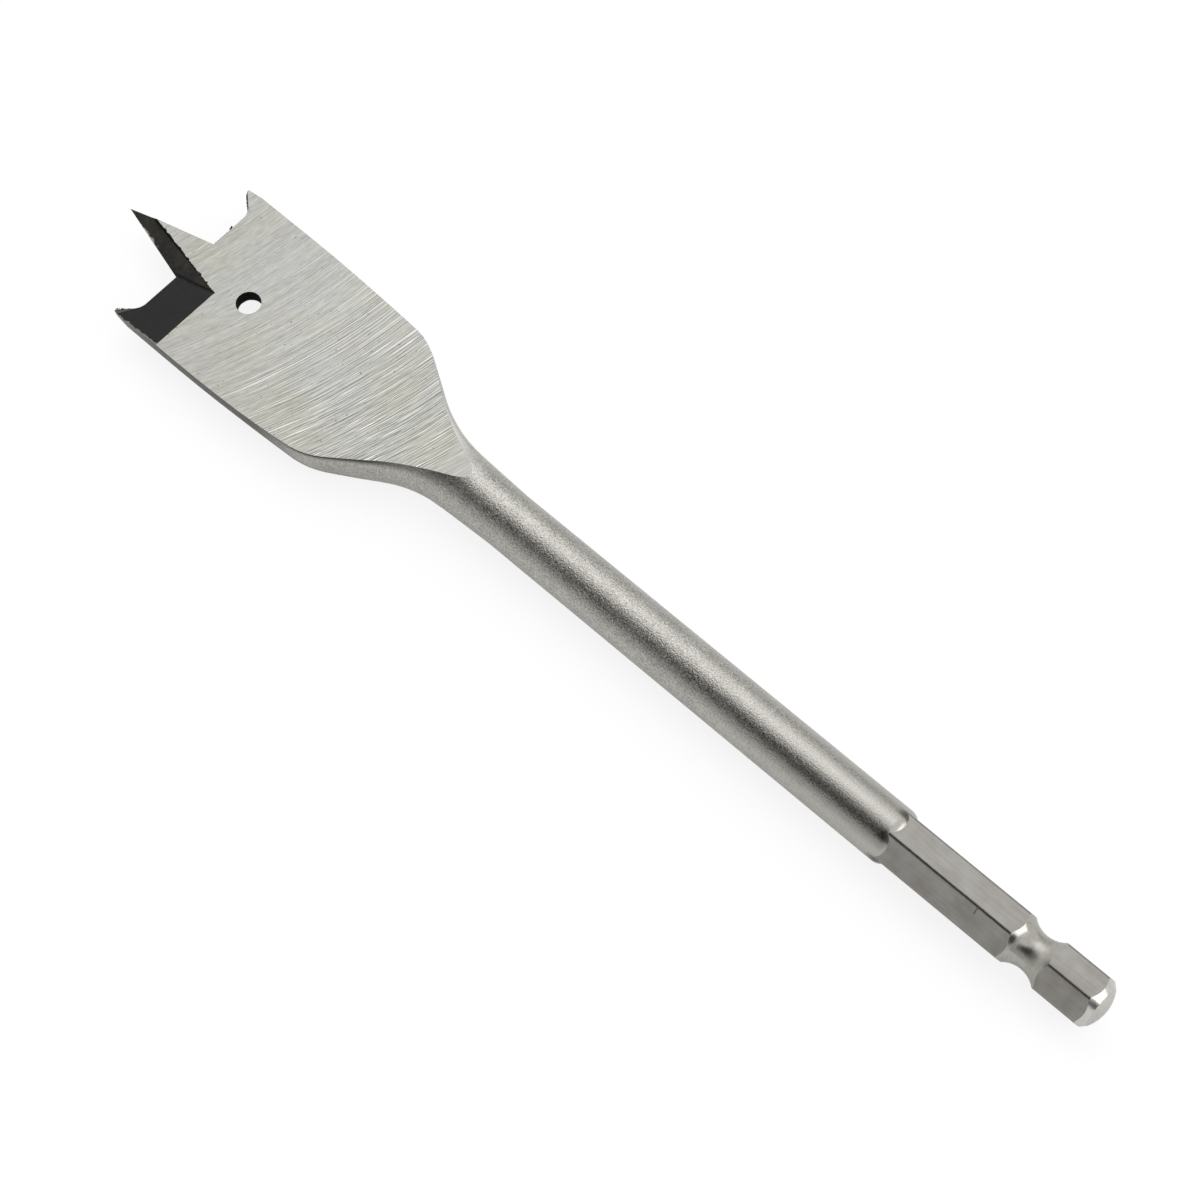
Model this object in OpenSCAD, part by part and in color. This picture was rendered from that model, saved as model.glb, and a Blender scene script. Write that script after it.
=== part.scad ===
// Spade drill bit for wood, one steel forging with ground cutting edges.
// It lies on its round shaft along X: the point looks to -X, the hexagon shank to +X, the faces of the
// blade to +Z and -Z. All lengths are in millimetres.

/* [Whole bit] */
// Length over all, from the tip of the point to the end of the shank
overall_length = 157; // [146:0.1:180]

/* [Blade] */
// Cutting width, measured over the two spurs
blade_width = 23.6; // [19:0.1:30]
// Thickness between the two flat faces
blade_thickness = 1.9; // [1.5:0.05:2.6]
// Distance from the tip to the place where the sides begin to draw in
side_parallel = 20; // [17:0.5:24]
// Radius of the gentle curve of the sides behind that place
side_radius = 250; // [180:5:400]
// Distance from the tip to the corner of the shoulder, before rounding
shoulder_distance = 42.3; // [38:0.1:48]
// Slope of the shoulder against the axis, in degrees
shoulder_angle = 31; // [24:1:40]
// Rounding between the side and the shoulder
shoulder_radius = 10.7; // [4:0.1:12]
// Rounding between the shoulder and the neck
neck_radius = 19; // [12:0.5:26]
// Taper of the neck, in degrees
neck_taper = 2.4; // [1:0.1:3.4]
// Distance from the tip to the place where the tapered neck runs out into the shaft
neck_distance = 66; // [64:0.5:72]
// Distance from the tip to the place where the flat faces turn into ramps
face_length = 35.9; // [31:0.1:38]
// Rounding between a flat face and its ramp
face_radius = 120; // [40:5:160]
// Distance from the tip to the place where the ramps run out on the neck
ramp_distance = 60.1; // [59.5:0.1:64]

/* [Point, lips and spurs] */
// Angle between the two cutting edges of the point, in degrees
point_angle = 29.8; // [25:0.1:34]
// Relief behind the edges of the point, in degrees
point_relief = 13; // [6:1:18]
// Distance from the tip back to the lips
lip_distance = 11.8; // [10:0.1:13]
// Relief behind the lips and spurs, in degrees
lip_relief = 21; // [10:1:25]
// Height of the spurs above the lips
spur_height = 2.5; // [1.5:0.1:3]
// Slope of the inner side of a spur against the axis, in degrees
spur_angle = 41; // [30:1:46]
// Width of a spur at its tip
spur_tip = 0.5; // [0.3:0.05:0.8]
// Rounding between a lip and its spur
spur_radius = 2.2; // [0.8:0.1:2.6]
// How much the outer side of a spur leans inwards at its tip
spur_lean = 0.3; // [0.1:0.05:0.5]

/* [Ground facets] */
// Length of the rake facet behind a lip
facet_length = 5.6; // [4.4:0.1:6.4]
// Rake of the facet behind a lip, in degrees
facet_angle = 7.6; // [5:0.2:9]
// Slope of the facet along an edge of the point, in degrees
point_facet_angle = 16.8; // [12:0.1:20]
// Height of an edge of the point over the middle of the blade's thickness
point_edge_height = 0.13; // [0.02:0.01:0.2]
// Slope of the wall at the inner border of that facet, in degrees
wall_angle = 50; // [35:1:60]
// Angle between that wall and the axis, in degrees
wall_turn = 11.5; // [9:0.5:14]
// Distance from the tip to the place where the wall crosses the axis
wall_distance = 8.4; // [7:0.1:9.5]

/* [Hole] */
// Diameter of the hole through the blade
hole_diameter = 3.2; // [2:0.1:4]
// Distance from the tip to the middle of the hole
hole_distance = 21.6; // [21:0.1:25]

/* [Shaft] */
// Diameter of the round shaft
shaft_diameter = 7.25; // [6.8:0.05:8]
// Rounding of the shaft where it ends at the hexagon
shaft_end_radius = 1.6; // [0.8:0.1:1.6]

/* [Hexagon shank] */
// Width of the hexagon across its flats
hex_width = 6.35; // [5.9:0.05:6.45]
// Length of the hexagon, from the end of the shaft to the end of the shank
hex_length = 29.8; // [25:0.1:36]
// Turn of a hexagon edge away from the middle of the blade's face, in degrees
hex_turn = 19; // [0:1:59]
// How much the edges of the hexagon are rounded down
hex_edge = 0.1; // [0.04:0.01:0.2]
// Distance from the middle of the holding groove to the end of the shank
groove_distance = 10.2; // [8.8:0.1:11.6]
// Diameter at the bottom of the holding groove
groove_diameter = 4.7; // [4.2:0.05:5.2]
// Radius of the holding groove along the axis
groove_radius = 3.5; // [2.4:0.1:4.5]
// Chamfer at the end of the shank
end_chamfer = 1; // [0.5:0.05:1.2]
// Height of the slightly domed end face
end_dome = 0.7; // [0.3:0.05:0.8]

/* [Hidden] */
$fn = 128;
steel = [0.72, 0.72, 0.70];
blade_r = blade_width / 2;
shaft_r = shaft_diameter / 2;
half_t = blade_thickness / 2;
// room by which the cutting shapes reach past the steel
over = 4;
// depth by which a rounding runs into the sides of its corner
bite = 0.003;

// corners of the turned outline, each as radius and distance from the tip
side_top = [blade_r, side_parallel];
side_turn = asin((shoulder_distance - side_parallel) / side_radius);
side_dir = [sin(side_turn), -cos(side_turn)];
shoulder_top = [blade_r - side_radius * (1 - cos(side_turn)), shoulder_distance];
slope_dir = [-sin(shoulder_angle), cos(shoulder_angle)];
slope_rise = tan(shoulder_angle);
neck_rise = tan(neck_taper);
neck_dir = [-sin(neck_taper), cos(neck_taper)];
foot_at = (shoulder_top[0] - shaft_r + shoulder_distance * slope_rise - neck_distance * neck_rise)
    / (slope_rise - neck_rise);
shoulder_foot = [shaft_r + (neck_distance - foot_at) * neck_rise, foot_at];
neck_reach = reach(neck_dir, -slope_dir, neck_radius);

// end of the round shaft at the flats of the hexagon
hex_start = overall_length - hex_length;
end_drop = shaft_r - hex_width / 2;
end_run = sqrt(2 * shaft_end_radius * end_drop - end_drop * end_drop);
shaft_end = hex_start - end_run;
shaft_stop = shaft_end + min(0.98 * shaft_end_radius, end_run + 0.3);
hex_corner = min(hex_width / sqrt(3) - hex_edge, shaft_r - 0.03);
end_r = hex_corner - end_chamfer;
dome_radius = (end_r * end_r + end_dome * end_dome) / (2 * end_dome);

// ramps that lead from the flat faces up to the neck
ramp_end = max(ramp_distance, foot_at + neck_reach + 1);
rest_r = shaft_r + max(neck_distance - ramp_end, 0) * neck_rise;
ramp_angle = atan((rest_r - half_t) / (ramp_end - face_length));
ramp_dir = [cos(ramp_angle), sin(ramp_angle)];
ramp_far = face_length + (shaft_r + over - half_t) / tan(ramp_angle);

// place of a spur in the plane of the blade
spur_foot = [
    lip_distance,
    -(blade_r - spur_tip - spur_height * tan(spur_angle))
];
spur_top = [lip_distance - spur_height, -(blade_r - spur_tip)];

// unit vector along v
function unit(v) = v / norm(v);
// half of the angle between two unit vectors
function half_angle(u, v) = acos(u * v) / 2;
// distance from a corner to the points where a rounding of radius r touches its sides
function reach(u, v, r) = r / tan(half_angle(u, v));
// middle of the rounding of radius r in the corner p with sides along u and v
function middle(p, u, v, r) = p + unit(u + v) * (r / sin(half_angle(u, v)) - bite);

// piece outside the rounding of radius r in the corner p with sides along u and v
module corner_piece(p, u, v, r) {
    u_end = p + u * reach(u, v, r);
    v_end = p + v * reach(u, v, r);
    out = -unit(u + v) * over / 4;
    difference() {
        polygon([u_end, u_end + out, p + out, v_end + out, v_end]);
        translate(middle(p, u, v, r)) circle(r, $fn = 720);
    }
}

// half of the turned outline: spurs, sides, shoulder, neck and shaft
module turned_outline() {
    difference() {
        polygon([
            [0, -over],
            [blade_r - spur_lean, -over],
            [blade_r - spur_lean, spur_top[0]],
            [blade_r, lip_distance],
            [blade_r, shoulder_distance - (blade_r - shoulder_top[0]) / slope_rise],
            shoulder_foot - slope_dir * neck_reach,
            shoulder_foot + neck_dir * neck_reach,
            [shaft_r, neck_distance],
            [shaft_r, shaft_stop],
            [0, shaft_stop]
        ]);
        difference() {
            translate(side_top - [2, 0]) square([over, shoulder_distance - side_parallel + over]);
            translate(side_top + [bite - side_radius, 0]) circle(side_radius, $fn = 1440);
        }
        corner_piece(shoulder_top, side_dir, slope_dir, shoulder_radius);
        corner_piece([shaft_r, shaft_end + shaft_end_radius], [0, -1], [-1, 0], shaft_end_radius);
        translate(middle(shoulder_foot, neck_dir, -slope_dir, neck_radius)) circle(neck_radius, $fn = 720);
    }
}

// a shape turned about the axis of the bit
module turned() {
    rotate([40, 0, 0]) rotate([0, 90, 0]) rotate_extrude($fn = 240) children();
}

// slab that leaves the flat faces and the ramps, each face blended into its ramp
module slab() {
    face_reach = reach([-1, 0], ramp_dir, face_radius);
    flat_end = [face_length - face_reach, half_t];
    ramp_start = [face_length, half_t] + ramp_dir * face_reach;
    blend = middle([face_length, half_t], [-1, 0], ramp_dir, face_radius);
    difference() {
        rotate([90, 0, 0]) linear_extrude(height = 2 * blade_width, center = true) polygon([
            [-over, half_t],
            flat_end,
            ramp_start,
            [ramp_far, shaft_r + over],
            [overall_length, shaft_r + over],
            [overall_length, -shaft_r - over],
            [ramp_far, -shaft_r - over],
            [ramp_start[0], -ramp_start[1]],
            [flat_end[0], -flat_end[1]],
            [-over, -half_t]
        ]);
        both_halves() translate([blend[0], 0, blend[1]]) rotate([90, 0, 0])
            cylinder(h = 3 * blade_width, r = face_radius, center = true, $fn = 720);
    }
}

// forged body with its blade pressed flat
module forged_body() {
    intersection() {
        turned() turned_outline();
        slab();
    }
}

// hexagon shank with rounded edges, chamfered end and holding groove
module hex_shank() {
    difference() {
        intersection() {
            translate([shaft_end - 1, 0, 0]) rotate([hex_turn, 0, 0]) rotate([0, 90, 0])
                cylinder(h = overall_length - shaft_end + 3, r = hex_width / sqrt(3), $fn = 6);
            turned() difference() {
                polygon([
                    [0, shaft_end - 1],
                    [hex_corner, shaft_end - 1],
                    [hex_corner, overall_length - end_dome - end_chamfer],
                    [hex_corner - end_chamfer - end_dome - 1, overall_length + 1],
                    [0, overall_length + 1]
                ]);
                difference() {
                    translate([-1, overall_length - 1.1 * end_dome]) square([hex_corner + 2, over]);
                    translate([0, overall_length - dome_radius]) circle(dome_radius, $fn = 720);
                }
            }
        }
        turned() translate([groove_diameter / 2 + groove_radius, overall_length - groove_distance])
            circle(groove_radius);
    }
}

// plan of the opening in front of one lip, seen along its leaning side walls
module lip_plan() {
    lean = cos(lip_relief);
    foot = [spur_foot[0] * lean, spur_foot[1]];
    top = [spur_top[0] * lean, spur_top[1]];
    lip_dir = [0, 1];
    spur_dir = unit(top - foot);
    difference() {
        polygon([
            [-2 * over, over],
            [foot[0], over],
            foot,
            top,
            [top[0] - 0.1, -blade_r - over],
            [-2 * over, -blade_r - over]
        ]);
        corner_piece(foot, lip_dir, spur_dir, spur_radius);
    }
}

// opening between the point and one spur, with relief behind the edges
module lip_opening() {
    intersection() {
        rotate([0, -lip_relief, 0]) linear_extrude(height = 40, center = true) lip_plan();
        rotate([0, 0, -point_angle / 2]) rotate([point_relief, 0, 0])
            translate([-2 * over, -2 * blade_width, -20]) cube([60, 2 * blade_width, 40]);
    }
}

// rake facet behind one lip, bordered by the facet and the wall along the point
module rake_facet() {
    size = 2 * blade_width;
    intersection() {
        translate([lip_distance + facet_length, 0, half_t]) rotate([0, -facet_angle, 0])
            translate([-size, -size, 0]) cube([size + 1, 2 * size, 20]);
        translate([0, 0, point_edge_height]) rotate([0, 0, -point_angle / 2]) rotate([point_facet_angle, 0, 0])
            translate([-size, -size, 0]) cube([2 * size, 2 * size, 20]);
        translate([wall_distance, 0, half_t]) rotate([0, 0, -wall_turn]) rotate([wall_angle, 0, 0])
            translate([-size, -size, 0]) cube([2 * size, 2 * size, 20]);
    }
}

// the same cut on both halves, half a turn apart
module both_halves() {
    children();
    rotate([180, 0, 0]) children();
}

// the whole bit, lying on its shaft
module spade_bit() {
    color(steel) translate([-overall_length / 2, 0, rest_r]) {
        difference() {
            union() {
                forged_body();
                hex_shank();
            }
            both_halves() lip_opening();
            both_halves() rake_facet();
            translate([hole_distance, 0, 0]) cylinder(h = blade_width, d = hole_diameter, center = true);
        }
    }
}

spade_bit();
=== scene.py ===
"""Spade drill bit for wood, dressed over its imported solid.

One forging in several finishes: a surface-ground blade, blackened cutting facets, a blasted shaft and a
ground hexagon shank with a turned groove and end. Lengths in the classes are in millimetres.
"""

import logging
import math
from collections.abc import Mapping, Sequence
from dataclasses import dataclass, replace
from enum import Enum
from typing import Any, Union

import bmesh
import bpy
import numpy as np
from mathutils import Matrix, Vector


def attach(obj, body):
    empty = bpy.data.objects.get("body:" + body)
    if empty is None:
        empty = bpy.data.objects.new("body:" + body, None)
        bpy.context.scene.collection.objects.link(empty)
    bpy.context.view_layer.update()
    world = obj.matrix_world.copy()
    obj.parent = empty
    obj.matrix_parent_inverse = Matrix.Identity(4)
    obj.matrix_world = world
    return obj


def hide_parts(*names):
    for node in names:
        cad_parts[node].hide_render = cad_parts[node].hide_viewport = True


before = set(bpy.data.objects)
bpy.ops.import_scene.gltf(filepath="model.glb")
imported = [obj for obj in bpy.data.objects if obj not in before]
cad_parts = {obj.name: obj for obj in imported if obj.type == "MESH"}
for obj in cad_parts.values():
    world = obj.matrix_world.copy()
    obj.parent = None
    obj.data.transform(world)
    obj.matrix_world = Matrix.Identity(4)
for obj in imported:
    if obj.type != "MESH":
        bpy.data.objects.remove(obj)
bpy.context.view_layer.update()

LOG = logging.getLogger("spade_bit")
MM = 0.001
NODE = "spade_bit"
BODY = "root"

# Blender's names of the nodes that are used most
MATH = "ShaderNodeMath"
RANGE = "ShaderNodeMapRange"
NOISE = "ShaderNodeTexNoise"
MIX = "ShaderNodeMix"

Pair = tuple[float, float]
Triple = tuple[float, float, float]
Socket = bpy.types.NodeSocket
Source = Union[bpy.types.Node, Socket]
Value = Union[float, Source]
Layer = tuple[Source, str]
Sockets = Union[Mapping[Any, Any], Sequence[Any]]


class Zone(Enum):
    """Areas of the steel that were made in different ways; the value is the place of the slot."""

    FACE = 0
    LIP_FACET = 1
    POINT_FACET = 2
    ROOT_WALL = 3
    RELIEF = 4
    HOLE = 5
    FORGED = 6
    FLAT = 7
    HEX_EDGE = 8
    GROOVE = 9
    CHAMFER = 10
    DOME = 11


class Half(Enum):
    """The two halves of the blade, half a turn apart; the value is the sign of width and height."""

    UPPER = 1
    LOWER = -1


@dataclass(frozen=True)
class BitSizes:
    """Sizes of the bit that the finishes and fine details follow, in millimetres and degrees."""

    length: float = 157.0
    axis_height: float = 3.87228
    lip: float = 11.8
    facet_end: float = 17.4
    half_point: float = 14.9
    hole_at: float = 21.6
    hole_radius: float = 1.6
    face_height: float = 0.95
    ramp_start: float = 35.9
    ramp_slope: float = 6.88
    ramp_end: float = 60.1
    facet_rake: float = 7.6
    point_facet: float = 16.8
    point_edge: float = 0.13
    wall_slope: float = 50.0
    wall_turn: float = 11.5
    wall_at: float = 8.4
    shaft_end: float = 126.09
    hex_flat: float = 3.175
    hex_corner: float = 3.566
    hex_turn: float = 19.0
    groove_at: float = 146.8
    chamfer_at: float = 155.3
    chamfer: float = 1.0

    def place(self, reach: float, width: float, high: float) -> Vector:
        """Point in metres at a distance from the tip, a width and a height over the axis."""
        return Vector((reach - self.length / 2, width, high + self.axis_height)) * MM

    def edge_width(self, reach: float) -> float:
        """Half width of the point at a distance from the tip."""
        return reach * math.tan(math.radians(self.half_point))

    def wall_width(self, reach: float) -> float:
        """Place across the blade of the upper edge of the wall beside the point's facet."""
        return (self.wall_at - reach) * math.tan(math.radians(self.wall_turn))

    def valley_point(self, reach: float) -> Triple:
        """Point of the corner between the facets of the point and the lip.

        Args:
            reach: Distance from the tip.

        Returns:
            Distance from the tip, width and height over the axis.
        """
        high = self.face_height - (self.facet_end - reach) * math.tan(math.radians(self.facet_rake))
        rise = math.tan(math.radians(self.point_facet)) * math.cos(math.radians(self.half_point))
        return (reach, (high - self.point_edge) / rise - self.edge_width(reach), high)

    def hole_point(self, turn: float) -> Triple:
        """Point on the upper rim of the hole.

        Args:
            turn: Its angle in degrees from the tip's side.

        Returns:
            Distance from the tip, width and height over the axis.
        """
        angle = math.radians(turn)
        across = self.hole_radius * math.sin(angle)
        return (self.hole_at - self.hole_radius * math.cos(angle), across, self.face_height)


SIZES = BitSizes()
# where most values of a noise lie
NOISE_SPAN: Pair = (0.32, 0.68)


def linear(code: str, alpha: float = 1.0) -> tuple[float, float, float, float]:
    """Turns an sRGB hex colour into linear values.

    Args:
        code: Six hex digits, with or without a leading mark.
        alpha: Fourth value of the result.

    Returns:
        Red, green, blue and alpha for a shader socket.
    """
    digits = code.lstrip("#")
    parts = [int(digits[i : i + 2], 16) / 255 for i in (0, 2, 4)]
    parts = [c / 12.92 if c <= 0.04045 else ((c + 0.055) / 1.055) ** 2.4 for c in parts]
    return (parts[0], parts[1], parts[2], alpha)


def output(source: Source) -> Socket:
    """Finds the output that a link starts from.

    Args:
        source: An output, or a node.

    Returns:
        The given output, or the first one that the node has in use.
    """
    if isinstance(source, bpy.types.NodeSocket):
        return source
    return next(socket for socket in source.outputs if socket.enabled)


def add_node(tree: bpy.types.NodeTree, kind: str, sockets: Sockets = (), **settings: Any) -> bpy.types.Node:
    """Adds a node, sets its properties, and fills its inputs with values or links.

    Args:
        tree: Tree that gets the node.
        kind: Blender's name of the node type.
        sockets: A value, or a node or output to link from, for inputs by name or number or in their order.
        **settings: Properties of the node.

    Returns:
        The new node.
    """
    node = tree.nodes.new(kind)
    for name, value in settings.items():
        setattr(node, name, value)
    for key, value in sockets.items() if isinstance(sockets, Mapping) else enumerate(sockets):
        if isinstance(value, (bpy.types.Node, bpy.types.NodeSocket)):
            tree.links.new(output(value), node.inputs[key])
        else:
            node.inputs[key].default_value = value
    return node


class Painter:
    """Tree of a material with the bit's own coordinates in millimetres.

    Attributes:
        tree: Tree of the material.
        place: Object coordinates in millimetres.
        reach: Distance from the tip of the bit.
        width: Place across the blade.
        high: Height over the axis.
    """

    def __init__(self, tree: bpy.types.NodeTree) -> None:
        """Starts from the object's coordinates.

        Args:
            tree: Tree of the material.
        """
        self.tree = tree
        source = add_node(tree, "ShaderNodeTexCoord")
        grow = (1 / MM, 1 / MM, 1 / MM)
        self.place = add_node(tree, "ShaderNodeMapping", {0: source.outputs["Object"], "Scale": grow})
        split = add_node(tree, "ShaderNodeSeparateXYZ", (self.place,))
        self.reach = add_node(tree, MATH, (split.outputs[0], SIZES.length / 2), operation="ADD")
        self.width: Socket = split.outputs[1]
        self.high = add_node(tree, MATH, (split.outputs[2], SIZES.axis_height), operation="SUBTRACT")

    def between(self, value: Source, start: float, stop: float, soften: float) -> bpy.types.Node:
        """Mask that is one while a value lies in a range, with soft borders.

        Args:
            value: Value that is looked at.
            start: Lower border.
            stop: Upper border.
            soften: Width of each border.

        Returns:
            The mask.
        """
        enter = add_node(self.tree, RANGE, (value, start - soften, start + soften))
        leave = add_node(self.tree, RANGE, (value, stop + soften, stop - soften))
        return add_node(self.tree, MATH, (enter, leave), operation="MULTIPLY")

    def half_width(self) -> bpy.types.Node:
        """Place across the blade as seen from the face that is looked at, the same on both halves."""
        side = add_node(self.tree, MATH, (self.high,), operation="SIGN")
        return add_node(self.tree, MATH, (self.width, side), operation="MULTIPLY")


@dataclass(frozen=True)
class Coat:
    """What a finish gives the shader.

    Attributes:
        colour: Colour under the layers.
        layers: Masks with the colours that they lay over it, one after the other.
        gloss: Roughness.
        heights: Pattern of the fine relief.
        depth: Depth of the relief.
        strength: How much of the relief is used.
    """

    colour: Source
    layers: tuple[Layer, ...]
    gloss: Source
    heights: Source
    depth: float
    strength: Value


@dataclass(frozen=True)
class Finish:
    """Steel with one way of working its surface: name, darker and lighter colour, roughness."""

    name: str
    dark: str
    light: str
    roughness: float
    metallic: float = 1.0
    specular: float = 0.5
    gloss_levels: Pair = (0.3, 0.7)
    gloss_swing: Pair = (0.05, 0.08)
    relief_depth: float = 0.03
    relief_share: float = 0.3

    def material(self) -> bpy.types.Material:
        """Builds the material of this finish.

        Returns:
            A node material on Object coordinates.
        """
        material = bpy.data.materials.new(self.name)
        material.use_nodes = True
        tree = material.node_tree
        tree.nodes.clear()
        plain = {
            "Base Color": linear(self.light),
            "Metallic": self.metallic,
            "Roughness": self.roughness,
            "Specular IOR Level": self.specular,
        }
        shader = add_node(tree, "ShaderNodeBsdfPrincipled", plain)
        add_node(tree, "ShaderNodeOutputMaterial", {"Surface": shader})
        coat = self.coat(Painter(tree))
        colour = coat.colour
        for mask, code in coat.layers:
            colour = add_node(tree, MIX, {0: mask, 6: colour, 7: linear(code)}, data_type="RGBA")
        relief = {"Strength": coat.strength, "Distance": coat.depth * MM, "Height": coat.heights}
        bump = add_node(tree, "ShaderNodeBump", relief)
        for name, source in {"Base Color": colour, "Roughness": coat.gloss, "Normal": bump}.items():
            tree.links.new(output(source), shader.inputs[name])
        return material

    def coat(self, paint: Painter) -> Coat:
        """Paints what the eye sees of the surface's making; each way of working has its own."""
        raise NotImplementedError(self.name)

    def shade(self, paint: Painter, level: Value) -> bpy.types.Node:
        """Colour between the darker and the lighter one of this finish."""
        colours = {0: level, 6: linear(self.dark), 7: linear(self.light)}
        return add_node(paint.tree, MIX, colours, data_type="RGBA")

    def uneven(self, paint: Painter, pattern: Source) -> bpy.types.Node:
        """Roughness that falls and rises with a noise, by the two parts of the gloss swing."""
        ends = (self.roughness - self.gloss_swing[0], self.roughness + self.gloss_swing[1])
        return add_node(paint.tree, RANGE, (pattern, *self.gloss_levels, *ends))


@dataclass(frozen=True)
class GroundFace(Finish):
    """Surface-ground steel: long curved lines of a cup wheel, each with a painted highlight beside painted
    shade.

    Gains and shares in pairs hold for the calm end at the tip and for the deep lines at the neck.
    """

    line: float = 0.17
    line_length: float = 9.0
    scratch: float = 0.2
    scratch_length: float = 14.0
    dash: float = 0.22
    dash_length: float = 1.2
    band: float = 1.6
    band_length: float = 30.0
    flank: float = 0.09
    pit: float = 0.45
    cloud: float = 9.0
    torn: float = 0.5
    slope: float = 0.26
    bend: float = 0.0075
    calm_until: float = 22.0
    deep_from: float = 44.0
    stain_from: float = 48.0
    fade_from: float = 54.5
    fade_share: float = 0.75
    line_gain: Pair = (0.5, 2.3)
    dash_gain: Pair = (0.45, 0.5)
    band_gain: Pair = (0.2, 0.4)
    middle: Pair = (0.42, 0.5)
    lit_levels: Pair = (0.61, 0.72)
    lit_share: Pair = (0.12, 0.75)
    shadow_levels: Pair = (0.60, 0.72)
    shadow_share: Pair = (0.06, 0.55)
    shadow_shift: float = 0.126
    pit_levels: Pair = (0.73, 0.79)
    pit_share: float = 0.7
    cloud_levels: Pair = (0.4, 0.7)
    gloss_swing: Pair = (0.05, 0.05)
    relief_depth: float = 0.012
    relief_ends: Pair = (0.15, 1.0)
    scratch_depth: float = 0.8
    rim_levels: Pair = (-0.40, -0.46)
    # colours of the painted highlight and the painted shade on the flanks of the scratches
    bright: str = "#F2F1ED"
    scratch_shade: str = "#63615B"
    pitted: str = "#4A4843"
    tint: str = "#FDFBF1"
    # dark oxide at the rim beside the point's facet; on the shank's edge the same field holds a painted shade
    soot_and_shade: str = "#161513"
    run_out: str = "#ABAAA7"

    def coat(self, paint: Painter) -> Coat:
        """Draws grinding lines and scratches with painted highlight and shade on their flanks, and the face's
        pits and stains.

        Args:
            paint: Painter of the material.

        Returns:
            What the shader gets.
        """
        tree = paint.tree
        # the real lines are about 0.05 mm wide; they are drawn coarser so that they show
        ridge = self.drawn(paint, self.line, self.line_length)
        ground = self.shade(paint, self.lines(paint, ridge))
        stained = {0: self.stains(paint), 6: ground, 7: linear(self.tint)}
        colour = add_node(tree, MIX, stained, data_type="RGBA", blend_type="MULTIPLY")
        cut = self.drawn(paint, self.scratch, self.scratch_length)
        # each scratch gets a painted highlight, and a shifted copy beside it gets painted shade
        lit_share = self.deepening(paint, self.lit_share)
        lit = add_node(tree, RANGE, (cut, *self.lit_levels, 0.0, lit_share))
        beside = self.drawn(paint, self.scratch, self.scratch_length, shift=self.shadow_shift)
        shadow_share = self.deepening(paint, self.shadow_share)
        shadow = add_node(tree, RANGE, (beside, *self.shadow_levels, 0.0, shadow_share))
        pits = add_node(tree, NOISE, {"Vector": paint.place, "Scale": 1 / self.pit, "Detail": 1.0})
        pits = add_node(tree, RANGE, (pits, *self.pit_levels, 0.0, self.pit_share))
        fade = add_node(tree, RANGE, (paint.reach, self.fade_from, SIZES.ramp_end, 0.0, self.fade_share))
        layers = (
            (shadow, self.scratch_shade),
            (lit, self.bright),
            (pits, self.pitted),
            (fade, self.run_out),
            (self.soot_rim(paint), self.soot_and_shade),
        )
        heights = add_node(tree, MATH, (cut, self.scratch_depth, ridge), operation="MULTIPLY_ADD")
        strength = self.deepening(paint, self.relief_ends)
        return Coat(colour, layers, self.uneven(paint, ridge), heights, self.relief_depth, strength)

    def drawn(
        self, paint: Painter, size: float, length: float, detail: float = 1.0, shift: float = 0.0
    ) -> bpy.types.Node:
        """Noise drawn out along the curved path of the wheel.

        Args:
            paint: Painter of the material.
            size: Width of a line.
            length: Length of a line.
            detail: Number of finer layers.
            shift: Move square to the lines.

        Returns:
            The noise.
        """
        tree = paint.tree
        turn = add_node(tree, MATH, (paint.width, self.bend, -self.slope), operation="MULTIPLY_ADD")
        across = add_node(tree, MATH, (paint.width, turn, paint.reach), operation="MULTIPLY_ADD")
        across = add_node(tree, MATH, (across, shift), operation="ADD")
        along = add_node(tree, MATH, (paint.width, size / length), operation="MULTIPLY")
        path = add_node(tree, "ShaderNodeCombineXYZ", (across, along, paint.high))
        return add_node(tree, NOISE, {"Vector": path, "Scale": 1 / size, "Detail": detail})

    def deepening(self, paint: Painter, ends: Pair) -> bpy.types.Node:
        """Value that runs along the face, from one at its calm end to one at its deep lines."""
        return add_node(paint.tree, RANGE, (paint.reach, self.calm_until, self.deep_from, *ends))

    def lines(self, paint: Painter, ridge: Source) -> bpy.types.Node:
        """Brightness of the ground lines: painted light and shade on their flanks, short dashes and broad
        bands around a middle.

        Args:
            paint: Painter of the material.
            ridge: Noise of the lines.

        Returns:
            The brightness.
        """
        tree = paint.tree
        # a shifted copy of the lines, taken off them, paints shade on one flank and a highlight on the other
        shaded_flank = self.drawn(paint, self.line, self.line_length, shift=self.flank)
        dash = self.drawn(paint, self.dash, self.dash_length)
        band = self.drawn(paint, self.band, self.band_length, 2.0)
        level = self.deepening(paint, self.middle)
        rows = ((ridge, shaded_flank, self.line_gain), (dash, 0.5, self.dash_gain), (band, 0.5, self.band_gain))
        for pattern, zero, ends in rows:
            swing = add_node(tree, MATH, (pattern, zero), operation="SUBTRACT")
            gain = self.deepening(paint, ends)
            level = add_node(tree, MATH, (swing, gain, level), operation="MULTIPLY_ADD")
        return level

    def stains(self, paint: Painter) -> bpy.types.Node:
        """Mask of the faint stains in clouds on the face and at its root.

        Args:
            paint: Painter of the material.

        Returns:
            The mask.
        """
        tree = paint.tree
        cloud = add_node(tree, NOISE, {"Vector": paint.place, "Scale": 1 / self.cloud, "Detail": 2.0})
        cloud = add_node(tree, RANGE, (cloud, *self.cloud_levels))
        root = add_node(tree, RANGE, (paint.reach, self.stain_from, SIZES.ramp_end))
        return add_node(tree, MATH, (cloud, root), operation="MAXIMUM")

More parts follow.
